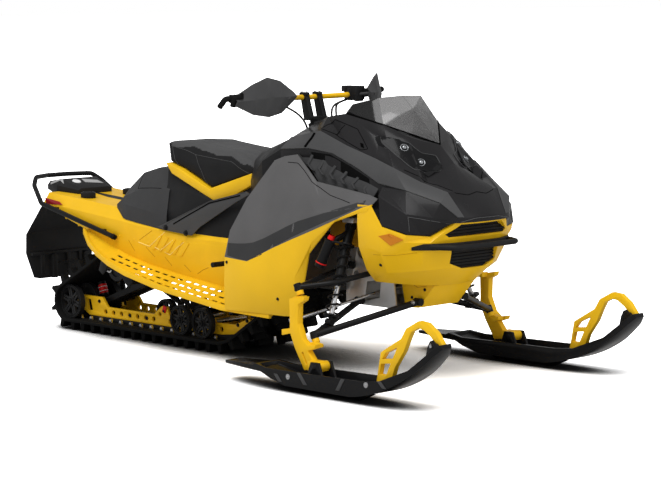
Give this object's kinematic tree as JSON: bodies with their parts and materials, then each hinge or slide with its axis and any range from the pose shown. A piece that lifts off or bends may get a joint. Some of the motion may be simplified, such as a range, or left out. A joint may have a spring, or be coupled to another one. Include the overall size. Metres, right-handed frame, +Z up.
{
  "type": "snowmobile",
  "caption": "Yellow and black trail snowmobile with a lugged track, steerable skis on wishbones, a low windshield and a tunnel with running boards.",
  "frame": {"origin": "on the floor under the middle of the machine's length, on its centre plane", "axes": "+X forward along the length, +Y to the rider's left, +Z up"},
  "size_m": [3.071, 1.232, 1.18],
  "materials": {
    "track_rubber": "moulded black rubber",
    "wheel_black": "moulded black plastic",
    "bare_steel": "plain machined steel",
    "yellow_metal": "yellow powder coat",
    "black_plastic": "black moulded plastic",
    "black_metal": "black powder coat",
    "red_lens": "red reflector plastic",
    "seat_cover": "black grained seat cover",
    "yellow_plastic": "yellow moulded plastic",
    "grey_plastic": "dark grey moulded plastic",
    "gloss_black": "smooth black bodywork",
    "lamp_glass": "dark clear lens over lamps",
    "amber_lens": "amber marker plastic",
    "grey_body": "dark grey bodywork",
    "smoked_screen": "smoked clear plastic",
    "cast_metal": "cast block",
    "raw_aluminium": "bare aluminium plate",
    "grip_rubber": "soft black rubber",
    "ski_plastic": "black moulded plastic"
  },
  "bodies": {
    "chassis": {"track": "track_rubber", "rear_wheels": "wheel_black", "road_wheels": "wheel_black", "wheel_axles": "bare_steel", "drive_axle": "bare_steel", "slide_rails": "yellow_metal", "rail_sliders": "black_plastic", "swing_arms": "black_metal", "suspension_hangers": "black_metal", "rear_dampers": "black_metal", "damper_carriers": "black_metal", "tunnel": "yellow_metal", "running_boards": "yellow_metal", "foot_pegs": "black_metal", "rear_bumper": "black_metal", "rear_lamp_housing": "black_plastic", "rear_lights": "red_lens", "snow_flap": "black_plastic", "cargo_anchors": "black_plastic", "seat_cushion": "seat_cover", "seat_base": "yellow_plastic", "seat_pedestal": "black_plastic", "storage_box": "black_plastic", "strut_plates": "grey_plastic", "nose_cheeks": "gloss_black", "headlights": "lamp_glass", "hood": "gloss_black", "hood_strips": "grey_body", "vent_louvres": "black_plastic", "grilles": "black_plastic", "side_markers": "amber_lens", "front_bumper": "black_plastic", "nose_frame": "yellow_plastic", "console": "black_plastic", "upper_side_panels": "grey_body", "lower_side_panels": "yellow_plastic", "windshield": "smoked_screen", "engine_block": "cast_metal", "front_bulkhead": "raw_aluminium", "lower_arms": "black_metal", "upper_arms": "black_metal", "front_shocks": "black_metal", "front_springs": "black_metal"},
    "steering": {"handlebar": "yellow_metal", "riser": "black_metal", "grips": "grip_rubber", "handguards": "grey_plastic", "hand_controls": "black_plastic"},
    "steering_link": {"tie_rods": "bare_steel"},
    "spindle_right_body": {"spindle_right": "yellow_metal"},
    "spindle_left_body": {"spindle_left": "yellow_metal"},
    "ski_right_body": {"ski_right": "ski_plastic", "ski_loop_right": "yellow_plastic"},
    "ski_left_body": {"ski_left": "ski_plastic", "ski_loop_left": "yellow_plastic"}
  },
  "joints": [
    {"name": "steering_turn", "type": "hinge", "parent": "chassis", "child": "steering", "pos_m": [0.272, 0, 0.985], "axis": [-0.2756, 0, 0.9613], "range_deg": [-30, 30]},
    {"name": "spindle_right_turn", "type": "hinge", "parent": "chassis", "child": "spindle_right_body", "pos_m": [0.778, -0.49, 0.208], "axis": [-0.4452, 0, 0.8954], "range_deg": [-26, 26]},
    {"name": "spindle_left_turn", "type": "hinge", "parent": "chassis", "child": "spindle_left_body", "pos_m": [0.778, 0.49, 0.208], "axis": [-0.4452, 0, 0.8954], "range_deg": [-26, 26]},
    {"name": "steering_link_slide", "type": "slide", "parent": "chassis", "child": "steering_link", "axis": [0, 1, 0], "range_m": [-0.04231, 0.04231]},
    {"name": "ski_right_pitch", "type": "hinge", "parent": "spindle_right_body", "child": "ski_right_body", "pos_m": [0.872, -0.54, 0.104], "axis": [0, -1, 0], "range_deg": [-8, 15]},
    {"name": "ski_left_pitch", "type": "hinge", "parent": "spindle_left_body", "child": "ski_left_body", "pos_m": [0.872, 0.54, 0.104], "axis": [0, -1, 0], "range_deg": [-8, 15]}
  ],
  "couplings": [
    {"joint": "spindle_right_turn", "follows": "steering_turn", "ratio": 0.8667},
    {"joint": "spindle_left_turn", "follows": "steering_turn", "ratio": 0.8667},
    {"joint": "steering_link_slide", "follows": "steering_turn", "m_per_rad": -0.08081}
  ]
}
